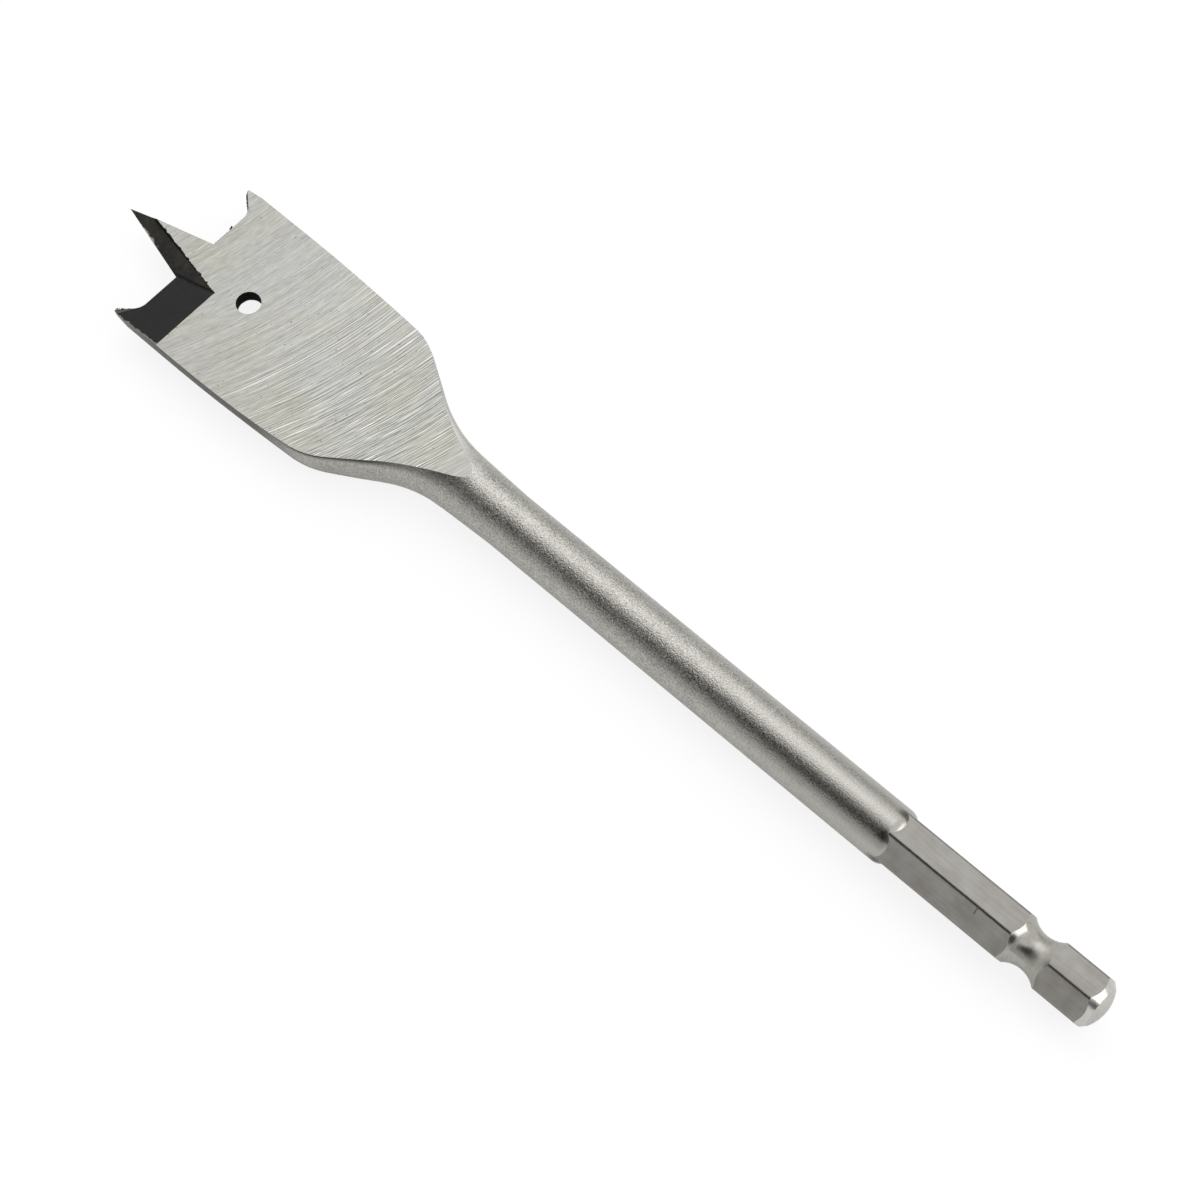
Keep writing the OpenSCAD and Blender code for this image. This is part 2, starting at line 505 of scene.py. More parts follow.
    def soot_rim(self, paint: Painter) -> bpy.types.Node:
        """Mask of the torn dark rim that the oxide left at the wall beside the point's facet.

        Args:
            paint: Painter of the material.

        Returns:
            The mask.
        """
        tree = paint.tree
        turn = math.tan(math.radians(SIZES.wall_turn))
        wall = add_node(tree, MATH, (paint.reach, turn, -SIZES.wall_at * turn), operation="MULTIPLY_ADD")
        wall = add_node(tree, MATH, (wall, paint.half_width()), operation="ADD")
        torn = {"Vector": paint.place, "Scale": 1 / self.torn, "Detail": 3.0, "Roughness": 0.6}
        ragged = add_node(tree, MATH, (wall, add_node(tree, NOISE, torn)), operation="SUBTRACT")
        rim = add_node(tree, RANGE, (ragged, *self.rim_levels))
        front = add_node(tree, MATH, (paint.reach, SIZES.facet_end), operation="LESS_THAN")
        return add_node(tree, MATH, (rim, front), operation="MULTIPLY")


@dataclass(frozen=True)
class BlackenedFacet(Finish):
    """Ground facet with black oxide: near black and semi-matt, worn to bare steel along its edges."""

    bare: str = "#A9A7A0"
    rim: str = "#7F7C76"
    # painted shade in the corner between the facets of the point and the lip
    valley_shade: str = "#020202"
    grain: float = 0.5
    torn: float = 0.7
    cloud: float = 1.8
    cloud_share: float = 0.5
    chips_from: float = 3.0
    chips_until: float = 6.5
    chips_soft: float = 0.4
    chip_reach: float = 1.3
    chip_levels: Pair = (-0.45, -0.6)
    rim_width: float = 12.0
    rim_soft: float = 0.1
    rim_reach: float = 0.9
    valley_reach: float = 0.2
    valley_soft: float = 0.05
    gloss_swing: Pair = (0.06, 0.08)
    relief_share: float = 0.35

    def coat(self, paint: Painter) -> Coat:
        """Mottles the oxide and wears it off at the point's edge and along the outer wall of the spur.

        Args:
            paint: Painter of the material.

        Returns:
            What the shader gets.
        """
        tree = paint.tree
        mottle, torn, cloud = (
            add_node(
                tree, NOISE,
                {"Vector": paint.place, "Scale": 1 / size, "Detail": fine, "Roughness": rough},
            )
            for size, fine, rough in ((self.grain, 4.0, 0.6), (self.torn, 3.0, 0.6), (self.cloud, 2.0, 0.5))
        )
        level = add_node(tree, MIX, {0: self.cloud_share, 2: mottle, 3: cloud}, data_type="FLOAT")
        level = add_node(tree, RANGE, (level, *NOISE_SPAN))
        across = paint.half_width()
        slope = math.tan(math.radians(SIZES.half_point))
        edge = add_node(tree, MATH, (paint.reach, slope, across), operation="MULTIPLY_ADD")
        near = add_node(tree, MATH, (torn, -self.chip_reach, edge), operation="MULTIPLY_ADD")
        near = add_node(tree, RANGE, (near, *self.chip_levels))
        span = paint.between(paint.reach, self.chips_from, self.chips_until, self.chips_soft)
        chips = add_node(tree, MATH, (near, span), operation="MULTIPLY")
        outer = add_node(tree, MATH, (torn, -self.rim_reach, across), operation="MULTIPLY_ADD")
        rim = add_node(tree, RANGE, (outer, -self.rim_width, -self.rim_width - self.rim_soft))
        layers = (
            (self.painted_valley_shade(paint, edge, mottle), self.valley_shade),
            (chips, self.bare),
            (rim, self.rim),
        )
        gloss = self.uneven(paint, mottle)
        return Coat(self.shade(paint, level), layers, gloss, mottle, self.relief_depth, self.relief_share)

    def painted_valley_shade(self, paint: Painter, edge: Source, rough: Source) -> bpy.types.Node:
        """Mask of the painted shade line in the corner between the facet of the point and the facet of the
        lip.

        Args:
            paint: Painter of the material.
            edge: Distance across from the edge of the point.
            rough: Noise that makes the line uneven.

        Returns:
            The mask.
        """
        tree = paint.tree
        rake = math.tan(math.radians(SIZES.facet_rake))
        rise = math.tan(math.radians(SIZES.point_facet)) * math.cos(math.radians(SIZES.half_point))
        start = SIZES.face_height - SIZES.facet_end * rake - SIZES.point_edge
        lip = add_node(tree, MATH, (paint.reach, rake, start), operation="MULTIPLY_ADD")
        gap = add_node(tree, MATH, (edge, -rise, lip), operation="MULTIPLY_ADD")
        gap = add_node(tree, MATH, (gap,), operation="ABSOLUTE")
        ragged = add_node(tree, MATH, (rough, -self.valley_reach, gap), operation="MULTIPLY_ADD")
        return add_node(tree, RANGE, (ragged, 0.0, -self.valley_soft))


@dataclass(frozen=True)
class BlastedSteel(Finish):
    """Forged and blasted steel: a fine even grain, dark scale on the blade's sides, smoother at the shank."""

    scale_dark: str = "#403D39"
    # colours of painted shade: under the edge of the face, and where the hexagon's edges leave the shaft
    corner: str = "#2B2925"
    end_shade: str = "#2E2B27"
    grain: float = 0.2
    patch: float = 2.5
    scale_until: float = 33.0
    clean_from: float = 43.0
    smooth_from: float = 95.0
    end_shade_from: float = 124.9
    line_full: float = 49.0
    line_weak: float = 55.0
    # painted sheen on the wall where the face runs out on the far side
    painted_sheen: str = "#EAE9E5"
    sheen_from: float = 51.0
    sheen_until: float = 59.0
    sheen_levels: Pair = (0.62, 1.0)
    sheen_soft: float = 3.0
    sheen_side: Pair = (0.2, 1.2)
    patch_share: float = 0.15
    scale_share: float = 0.88
    calm_share: float = 0.8
    # the painted shade line under the face's edge: its place on the wall, its strength along the bit and the
    # side that gets most of it
    line_levels: Pair = (0.58, 0.95)
    line_share: Pair = (0.9, 0.42)
    line_from: float = 38.4
    line_until: float = 58.1
    line_soft: float = 2.0
    line_side: Pair = (1.0, -1.0)
    line_beyond: float = 0.15
    # size, turn, reach over the shaft's end and strength of the painted shade at the hexagon's edges
    end_shade_width: Pair = (14.0, 4.0)
    end_shade_turn: float = 9.0
    end_shade_over: float = 0.4
    end_shade_share: float = 0.75
    relief_depth: float = 0.07
    relief_ends: Pair = (1.0, 0.2)

    def coat(self, paint: Painter) -> Coat:
        """Adds the blasted grain, the scale on the sides, and painted shade and sheen near the face's edge
        and the hexagon.

        Args:
            paint: Painter of the material.

        Returns:
            What the shader gets.
        """
        tree = paint.tree
        # the real grain is about 0.1 mm; it is drawn coarser so that it shows
        grain, patch = (
            add_node(
                tree, NOISE,
                {"Vector": paint.place, "Scale": 1 / size, "Detail": fine, "Roughness": 0.6},
            )
            for size, fine in ((self.grain, 2.0), (self.patch, 3.0))
        )
        calm = add_node(tree, RANGE, (paint.reach, self.smooth_from, SIZES.shaft_end, 0.0, self.calm_share))
        level = add_node(tree, MIX, {0: self.patch_share, 2: grain, 3: patch}, data_type="FLOAT")
        level = add_node(tree, RANGE, (level, *NOISE_SPAN))
        level = add_node(tree, MIX, {0: calm, 2: level, 3: 0.5}, data_type="FLOAT")
        scaled = (paint.reach, self.scale_until, self.clean_from, self.scale_share, 0.0)
        layers = (
            (add_node(tree, RANGE, scaled, interpolation_type="SMOOTHSTEP"), self.scale_dark),
            (self.painted_shade_line(paint), self.corner),
            (self.painted_sheen_strip(paint), self.painted_sheen),
            (self.painted_end_shade(paint), self.end_shade),
        )
        gloss = self.uneven(paint, grain)
        rough, smooth = self.relief_ends
        strength = add_node(tree, MIX, {0: calm, 2: rough, 3: smooth}, data_type="FLOAT")
        return Coat(self.shade(paint, level), layers, gloss, grain, self.relief_depth, strength)

    def painted_shade_line(self, paint: Painter) -> bpy.types.Node:
        """Mask of the painted shade line on the shoulder right under the edge of the face, strongest on one
        side of each half.

        Args:
            paint: Painter of the material.

        Returns:
            The mask.
        """
        tree = paint.tree
        under = (self.wall_share(paint), *self.line_levels)
        line = add_node(tree, RANGE, under, interpolation_type="SMOOTHSTEP")
        span = paint.between(paint.reach, self.line_from, self.line_until, self.line_soft)
        strong = add_node(tree, RANGE, (paint.reach, self.line_full, self.line_weak, *self.line_share))
        side = add_node(tree, RANGE, (paint.half_width(), *self.line_side, self.line_beyond, strong))
        line = add_node(tree, MATH, (line, span), operation="MULTIPLY")
        return add_node(tree, MATH, (line, side), operation="MULTIPLY")

    def wall_share(self, paint: Painter) -> bpy.types.Node:
        """Height on the wall beside the rising face, as a share of the face's height there.

        Args:
            paint: Painter of the material.

        Returns:
            The share, one at the edge of the face.
        """
        tree = paint.tree
        slope = math.tan(math.radians(SIZES.ramp_slope))
        start = SIZES.face_height - SIZES.ramp_start * slope
        ramp = add_node(tree, MATH, (paint.reach, slope, start), operation="MULTIPLY_ADD")
        high = add_node(tree, MATH, (paint.high,), operation="ABSOLUTE")
        return add_node(tree, MATH, (high, ramp), operation="DIVIDE")

    def painted_sheen_strip(self, paint: Painter) -> bpy.types.Node:
        """Mask of the painted sheen on the strip where the face runs out on the other side, which softens its
        edge.

        Args:
            paint: Painter of the material.

        Returns:
            The mask.
        """
        tree = paint.tree
        under = (self.wall_share(paint), *self.sheen_levels)
        strip = add_node(tree, RANGE, under, interpolation_type="SMOOTHSTEP")
        span = paint.between(paint.reach, self.sheen_from, self.sheen_until, self.sheen_soft)
        side = add_node(tree, RANGE, (paint.half_width(), *self.sheen_side))
        strip = add_node(tree, MATH, (strip, span), operation="MULTIPLY")
        return add_node(tree, MATH, (strip, side), operation="MULTIPLY")

    def painted_end_shade(self, paint: Painter) -> bpy.types.Node:
        """Mask of the painted shade where the edges of the hexagon leave the shaft.

        Args:
            paint: Painter of the material.

        Returns:
            The mask.
        """
        tree = paint.tree
        apart = edge_distance(paint, 6, self.end_shade_turn)
        borders = (math.radians(turn) for turn in self.end_shade_width)
        near = add_node(tree, RANGE, (apart, *borders), interpolation_type="SMOOTHSTEP")
        end = (paint.reach, self.end_shade_from, SIZES.shaft_end + self.end_shade_over)
        late = add_node(tree, RANGE, end, interpolation_type="SMOOTHSTEP")
        end_shade = add_node(tree, MATH, (near, late), operation="MULTIPLY")
        return add_node(tree, MATH, (end_shade, self.end_shade_share), operation="MULTIPLY")


def edge_distance(paint: Painter, count: int, shift: float = 0.0) -> bpy.types.Node:
    """Angle about the axis to the nearest edge of the hexagon.

    Args:
        paint: Painter of a material.
        count: Number of edges looked at, six for all or two for the upper and the lower one.
        shift: Turn of the looked-at lines away from the edges, in degrees.

    Returns:
        The angle in radians, not negative.
    """
    tree = paint.tree
    angle = add_node(tree, MATH, (paint.high, paint.width), operation="ARCTAN2")
    first = math.radians(90 + SIZES.hex_turn + shift)
    turned = add_node(tree, MATH, (angle, first), operation="SUBTRACT")
    step = math.radians(180 / count)
    apart = add_node(tree, MATH, (turned, step, -step), operation="WRAP")
    return add_node(tree, MATH, (apart,), operation="ABSOLUTE")


@dataclass(frozen=True)
class GroundFlat(Finish):
    """Drawn and ground flats of the shank: nearly smooth, mottled, with faint marks along the axis."""

    mark: float = 0.3
    mark_length: float = 8.0
    stain: float = 2.4
    nick_at: float = 139.5
    nick_half: float = 0.09
    nick_from: float = 109.5
    nick_until: float = 126.0
    nick_dark: str = "#5A5752"
    nick_share: float = 0.7
    nick_soft: float = 0.06
    nick_soft_turn: float = 0.01
    stain_share: float = 0.72
    levels: Pair = (0.34, 0.66)
    gloss_swing: Pair = (0.05, 0.07)
    relief_share: float = 0.2

    def coat(self, paint: Painter) -> Coat:
        """Adds faint drawing marks, soft stains and one small nick beside an edge.

        Args:
            paint: Painter of the material.

        Returns:
            What the shader gets.
        """
        tree = paint.tree
        pull = (self.mark / self.mark_length, 1.0, 1.0)
        drawn = add_node(tree, "ShaderNodeMapping", {0: paint.place, "Scale": pull})
        marks, stain = (
            add_node(tree, NOISE, {"Vector": at, "Scale": 1 / size, "Detail": 3.0, "Roughness": rough})
            for at, size, rough in ((drawn, self.mark, 0.6), (paint.place, self.stain, 0.5))
        )
        level = add_node(tree, MIX, {0: self.stain_share, 2: marks, 3: stain}, data_type="FLOAT")
        level = add_node(tree, RANGE, (level, *self.levels))
        layers = ((self.nick(paint), self.nick_dark),)
        gloss = self.uneven(paint, stain)
        return Coat(self.shade(paint, level), layers, gloss, marks, self.relief_depth, self.relief_share)

    def nick(self, paint: Painter) -> bpy.types.Node:
        """Mask of the small nick across a flat beside its edge.

        Args:
            paint: Painter of the material.

        Returns:
            The mask.
        """
        tree = paint.tree
        angle = add_node(tree, MATH, (paint.high, paint.width), operation="ARCTAN2")
        turns = (math.radians(self.nick_from), math.radians(self.nick_until))
        beside = paint.between(angle, *turns, self.nick_soft_turn)
        start = self.nick_at - self.nick_half
        along = paint.between(paint.reach, start, self.nick_at + self.nick_half, self.nick_soft)
        nick = add_node(tree, MATH, (beside, along), operation="MULTIPLY")
        return add_node(tree, MATH, (nick, self.nick_share), operation="MULTIPLY")


@dataclass(frozen=True)
class TurnedSteel(Finish):
    """Turned steel with the fine rings of the tool, bright where the tool burnished it."""

    pitch: float = 0.22
    chatter: float = 0.5
    run_out: float = 0.34
    ring_share: float = 0.5
    levels: Pair = (0.25, 0.75)
    burnish: Pair = (-1.0, 0.6)
    chatter_gloss: float = 0.12
    relief_depth: float = 0.02
    relief_share: float = 0.35

    def coat(self, paint: Painter) -> Coat:
        """Adds turning rings and short chatter marks.

        Args:
            paint: Painter of the material.

        Returns:
            What the shader gets.
        """
        tree = paint.tree
        line = add_node(tree, "ShaderNodeCombineXYZ", (paint.reach,))
        rings = add_node(tree, NOISE, {"Vector": line, "Scale": 1 / self.pitch, "Detail": 2.0})
        marks = {"Vector": paint.place, "Scale": 1 / self.chatter, "Detail": 3.0, "Roughness": 0.6}
        chatter = add_node(tree, NOISE, marks)
        both = add_node(tree, MIX, {0: self.ring_share, 2: rings, 3: chatter}, data_type="FLOAT")
        level = add_node(tree, RANGE, (both, *self.levels))
        borders = (SIZES.groove_at + border for border in self.burnish)
        burnished = add_node(tree, RANGE, (paint.reach, *borders, self.roughness, self.run_out))
        gloss = add_node(tree, MATH, (chatter, self.chatter_gloss, burnished), operation="MULTIPLY_ADD")
        return Coat(self.shade(paint, level), (), gloss, both, self.relief_depth, self.relief_share)


@dataclass(frozen=True)
class WornSteel(Finish):
    """Plain worked steel with a fine mottle, for edges, the hole and the end."""

    mottle: float = 0.4
    levels: Pair = (0.3, 0.7)

    def coat(self, paint: Painter) -> Coat:
        """Adds a fine mottle in colour, gloss and height.

        Args:
            paint: Painter of the material.

        Returns:
            What the shader gets.
        """
        fine = {"Vector": paint.place, "Scale": 1 / self.mottle, "Detail": 4.0, "Roughness": 0.65}
        grain = add_node(paint.tree, NOISE, fine)
        level = add_node(paint.tree, RANGE, (grain, *self.levels))
        gloss = self.uneven(paint, grain)
        return Coat(self.shade(paint, level), (), gloss, grain, self.relief_depth, self.relief_share)


@dataclass(frozen=True)
class ShankEdge(WornSteel):
    """Rounded edge of the hexagon, with a painted shade line on the crest of the upper and the lower edge."""

    line: float = 0.055
    line_borders: Pair = (1.5, 0.7)
    # colour of the painted shade line on the crest
    soot_and_shade: str = "#3A3732"

    def coat(self, paint: Painter) -> Coat:
        """Adds the painted shade line to the mottle.

        Args:
            paint: Painter of the material.

        Returns:
            What the shader gets.
        """
        borders = (share * self.line / SIZES.hex_corner for share in self.line_borders)
        line = add_node(paint.tree, RANGE, (edge_distance(paint, 2), *borders))
        return replace(super().coat(paint), layers=((line, self.soot_and_shade),))


FINISHES: dict[Zone, Finish] = {
    # bright, finely lined grey that stays even over the whole blade
    Zone.FACE: GroundFace("ground_blade_steel", "#7B7B78", "#C9C9C6", 0.40),
    # near-black oxide, so the cutting corner stands out as one dark shape
    Zone.LIP_FACET: BlackenedFacet("blackened_lip_facet", "#0B0B0B", "#191817", 0.52, 0.3, 0.42),
    # thinner oxide with steel showing through, a little browner than the lip's
    Zone.POINT_FACET: BlackenedFacet("blackened_point_facet", "#0E0D0C", "#3A3831", 0.50, 0.3, 0.42),
    # thick oxide in the corner of the cut, which draws a black line beside the face
    Zone.ROOT_WALL: BlackenedFacet("blackened_root_wall", "#060606", "#0E0E0D", 0.60, 0.1, 0.15),
    # relief behind the edges, dull and dark, so that lips and spurs end in dark rims
    Zone.RELIEF: WornSteel("blackened_relief_steel", "#131211", "#2E2C29", 0.55, 0.35),
    # drilled wall with oxide, black against the white seen through the hole
    Zone.HOLE: WornSteel("blackened_hole_wall", "#040404", "#0D0C0A", 0.65, 0.0, 0.08),
    # blasted forging, a soft sheen broken by grain
    Zone.FORGED: BlastedSteel("blasted_forged_steel", "#8D8A83", "#D1CFC9", 0.30),
    # ground flats, which look plain and slightly stained
    Zone.FLAT: GroundFlat("ground_shank_flat", "#A19D98", "#BDBBB6", 0.66),
    # rounded edge, a pale line between two flats, with a painted shade line on the crest of two of them
    Zone.HEX_EDGE: ShankEdge("worn_shank_edge", "#85827D", "#A09D98", 0.42),
    # turned and burnished groove, which mirrors lamp and dark room in sharp patches
    Zone.GROOVE: TurnedSteel("turned_groove_steel", "#9A9890", "#BDBBB4", 0.14),
    # turned chamfer, the brightest band of the shank
    Zone.CHAMFER: TurnedSteel("turned_chamfer_steel", "#B4B2AD", "#DCDAD5", 0.10, pitch=0.3, run_out=0.10),
    # sawn and brushed end, pale and matt
    Zone.DOME: WornSteel("sawn_end_steel", "#B7B5B0", "#CFCDC8", 0.46),
}
# bare steel torn up at the edges, small bright flecks
PALE_BURR = WornSteel("torn_burr_steel", "#A3A19A", "#D2D0CA", 0.40)
# torn crumbs with oxide on them, small black flecks
BLACK_BURR = WornSteel("blackened_burr_steel", "#0B0B0A", "#23221F", 0.55, 0.2, 0.2)


@dataclass
class BitBody:
    """The forging itself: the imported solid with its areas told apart, smoothed and dressed."""

    sizes: BitSizes = SIZES
    name: str = "bit_body"
    crease: float = math.radians(24)
    same_normal: float = 0.9995
    edge_half: float = 6.5

    def zone(self, corners: np.ndarray, normal: Vector) -> Zone:
        """Tells which area a triangle of the solid belongs to.

        Args:
            corners: Its corners in the tool's frame: distance from the tip, width, height over the axis.
            normal: Its outward normal.

        Returns:
            The area.
        """
        s = self.sizes
        at, width, high = corners.mean(axis=0)
        radius = np.hypot(corners[:, 1], corners[:, 2])
        if at > s.shaft_end - 0.2:
            return self.shank_zone(at, radius, normal, width, high)
        if math.hypot(at - s.hole_at, width) < s.hole_radius + 0.05 and abs(normal.z) < 0.5:
            return Zone.HOLE
        half = math.copysign(1.0, high)
        face_normal = Vector((normal.x, normal.y * half, normal.z * half))
        if at < s.facet_end + 0.1:
            for area, direction in self.facet_normals().items():
                if face_normal.dot(direction) > self.same_normal and width * half < 2.0:
                    return area
        if abs(normal.y) < 0.003 and at < s.ramp_end + 0.1 and face_normal.z > 0.99 and normal.x < 0.001:
            return Zone.FACE
        if at < s.lip + 1.6 and normal.x < -0.2 and abs(normal.z) < 0.7:
            return Zone.RELIEF
        return Zone.FORGED

    def shank_zone(self, at: float, radius: np.ndarray, normal: Vector, width: float, high: float) -> Zone:
        """Tells the areas of the hexagon shank apart.

        Args:
            at: Distance of the triangle's middle from the tip.
            radius: Distances of its corners from the axis.
            normal: Its outward normal.
            width: Its middle's place across the blade.
            high: Its middle's height over the axis.

        Returns:
            The area.
        """
        s = self.sizes
        if at > s.chamfer_at - 0.1 and normal.x > 0.3:
            return Zone.CHAMFER if radius.min() > s.hex_corner - s.chamfer - 0.02 else Zone.DOME
        if abs(at - s.groove_at) < 3.2 and (radius.min() < s.hex_flat - 0.02 or abs(normal.x) > 0.02):
            return Zone.GROOVE
        if normal.x > 0.02:
            return Zone.FORGED
        if radius.min() > s.hex_corner - 0.02:
            turn = math.degrees(math.atan2(high, width)) - 90 - s.hex_turn
            if abs((turn + 30) % 60 - 30) < self.edge_half:
                return Zone.HEX_EDGE
        return Zone.FLAT if at > s.shaft_end and abs(normal.x) < 0.02 else Zone.FORGED

    def facet_normals(self) -> dict[Zone, Vector]:
        """Outward normals of the three cutting facets on the upper half.

        Returns:
            A unit vector for each facet.
        """
        s = self.sizes
        normals = {Zone.LIP_FACET: Matrix.Rotation(math.radians(-s.facet_rake), 3, "Y") @ Vector((0, 0, 1))}
        tilts = {Zone.POINT_FACET: (s.half_point, s.point_facet), Zone.ROOT_WALL: (s.wall_turn, s.wall_slope)}
        for area, (turn, slope) in tilts.items():
            tilted = Matrix.Rotation(math.radians(slope), 3, "X") @ Vector((0, 0, 1))
            normals[area] = Matrix.Rotation(math.radians(-turn), 3, "Z") @ tilted
        return normals

    def build(self, node: bpy.types.Object) -> bpy.types.Object:
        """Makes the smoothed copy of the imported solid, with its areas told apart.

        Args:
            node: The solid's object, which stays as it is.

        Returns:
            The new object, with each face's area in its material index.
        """
        mesh = node.data.copy()
        mesh.name = self.name
        mesh.materials.clear()
        work = bmesh.new()
        work.from_mesh(mesh)
        bmesh.ops.remove_doubles(work, verts=work.verts, dist=1e-7)
        work.normal_update()
        shift = np.array((self.sizes.length / 2, 0, -self.sizes.axis_height))
        for face in work.faces:
            corners = np.array([[c / MM for c in v.co] for v in face.verts]) + shift
            face.material_index = self.zone(corners, face.normal).value
            face.smooth = True
        for edge in work.edges:
            kinds = {f.material_index for f in edge.link_faces}
            edge.smooth = len(kinds) == 1 and edge.calc_face_angle(0.0) < self.crease
        work.to_mesh(mesh)
        work.free()
        body = bpy.data.objects.new(self.name, mesh)
        bpy.context.scene.collection.objects.link(body)
        return body

    def dress(self, body: bpy.types.Object) -> None:
        """Gives each area its finish.

        Args:
            body: The built object.
        """
        for area in Zone:
            body.data.materials.append(FINISHES[area].material())
        used = np.zeros(len(body.data.polygons), np.int32)
        body.data.polygons.foreach_get("material_index", used)
        for area in Zone:
            LOG.info("area %s: %d faces", area.name, int((used == area.value).sum()))


@dataclass
class EdgeBurrs:
    """Fine burrs that grinding left along cutting edges, strewn by nodes along a path."""

    name: str
    path: Sequence[Triple]
    count: int
    size: float
    seed: int
    material: bpy.types.Material
    crumb: Triple = (1.6, 0.7, 0.5)
    smallest: float = 0.25

    def tree(self) -> bpy.types.NodeTree:
        """Builds the tree that strews the burrs.

        Returns:
            A geometry tree with the inputs Count, Size and Seed.
        """
        tree = bpy.data.node_groups.new(self.name + "_nodes", "GeometryNodeTree")
        tree.interface.new_socket("Geometry", in_out="INPUT", socket_type="NodeSocketGeometry")
        tree.interface.new_socket("Count", in_out="INPUT", socket_type="NodeSocketInt")
        tree.interface.new_socket("Size", in_out="INPUT", socket_type="NodeSocketFloat")
        tree.interface.new_socket("Seed", in_out="INPUT", socket_type="NodeSocketInt")
        tree.interface.new_socket("Geometry", in_out="OUTPUT", socket_type="NodeSocketGeometry")
        given = add_node(tree, "NodeGroupInput")
        curve = add_node(tree, "GeometryNodeMeshToCurve", {0: given.outputs["Geometry"]})
        spread = add_node(
            tree, "GeometryNodeCurveToPoints",
            {0: curve, "Count": given.outputs["Count"]}, mode="COUNT",
        )
        full = 2 * math.pi
        turn = add_node(
            tree, "FunctionNodeRandomValue",
            {0: (0.0, 0.0, 0.0), 1: (full, full, full), "Seed": given.outputs["Seed"]},
            data_type="FLOAT_VECTOR",
        )
        grow = add_node(
            tree, "FunctionNodeRandomValue", {2: self.smallest, 3: 1.0, "Seed": given.outputs["Seed"]},
            data_type="FLOAT",
        )
        scale = add_node(tree, MATH, (grow, given.outputs["Size"]), operation="MULTIPLY")
        ball = add_node(tree, "GeometryNodeMeshIcoSphere", {"Radius": 1.0, "Subdivisions": 1})
        squash = add_node(tree, "GeometryNodeTransform", {0: ball, "Scale": self.crumb})
        strew = add_node(
            tree, "GeometryNodeInstanceOnPoints",
            {"Points": spread, "Instance": squash, "Rotation": turn, "Scale": scale},
        )
        real = add_node(tree, "GeometryNodeRealizeInstances", {0: strew})
        paint = add_node(tree, "GeometryNodeSetMaterial", {0: real, "Material": self.material})
        add_node(tree, "NodeGroupOutput", {0: paint})
        return tree

    def build(self) -> bpy.types.Object:
        """Strews the burrs and turns them into a plain mesh.

        Returns:
            The object of the burrs.
        """
        points = [SIZES.place(*point) for point in self.path]
        mesh = bpy.data.meshes.new(self.name + "_path")
        mesh.from_pydata(points, [(i, i + 1) for i in range(len(points) - 1)], [])
        values = {"Count": self.count, "Size": self.size * MM, "Seed": self.seed}
        return solidified(self.name, mesh, self.tree(), values, self.material)


def solidified(
    name: str,
    mesh: bpy.types.Mesh,
    tree: bpy.types.NodeTree,
    values: Mapping[str, Any],
    material: bpy.types.Material,
) -> bpy.types.Object:
    """Runs a geometry tree on a mesh and keeps the result as a plain mesh object.

    Args:
        name: Name of the new object.
        mesh: Mesh that the tree starts from.
        tree: Geometry tree.
        values: Values of its inputs by name.
        material: Material of the result.

    Returns:
        The object with the evaluated mesh and no modifier.
    """
    carrier = bpy.data.objects.new(name + "_carrier", mesh)
    modifier = carrier.modifiers.new("nodes", "NODES")
    modifier.node_group = tree
    for item in tree.interface.items_tree:
        if item.in_out == "INPUT" and item.name in values:
            modifier[item.identifier] = values[item.name]
    bpy.context.scene.collection.objects.link(carrier)
    graph = bpy.context.evaluated_depsgraph_get()
    graph.update()
    result = bpy.data.meshes.new_from_object(carrier.evaluated_get(graph))
    result.name = name
    bpy.data.objects.remove(carrier)
    if not result.materials:
        result.materials.append(material)
    piece = bpy.data.objects.new(name, result)
    bpy.context.scene.collection.objects.link(piece)
    return piece


@dataclass(frozen=True)
class Lamp:
    """A square softbox that looks at the bit: name, place and side in metres, power in watts."""

    name: str
    place: Triple
    side: float
    power: float

    def build(self) -> bpy.types.Object:
        """Hangs the lamp.

        Returns:
            The lamp object.
        """
        light = bpy.data.lights.new(self.name, "AREA")
        light.shape = "SQUARE"
        light.size = self.side
        light.energy = self.power
        lamp = bpy.data.objects.new(self.name, light)
        turn = Vector(self.place).to_track_quat("Z", "Y").to_matrix().to_4x4()
        lamp.matrix_world = Matrix.Translation(self.place) @ turn
        bpy.context.scene.collection.objects.link(lamp)
        return lamp


@dataclass(frozen=True)
class DarkPatch:
    """A dark part of the room that the steel mirrors: direction, cosines of its outer and inner border."""

    towards: Triple
    outer: float
    inner: float
    left: float = 0.02


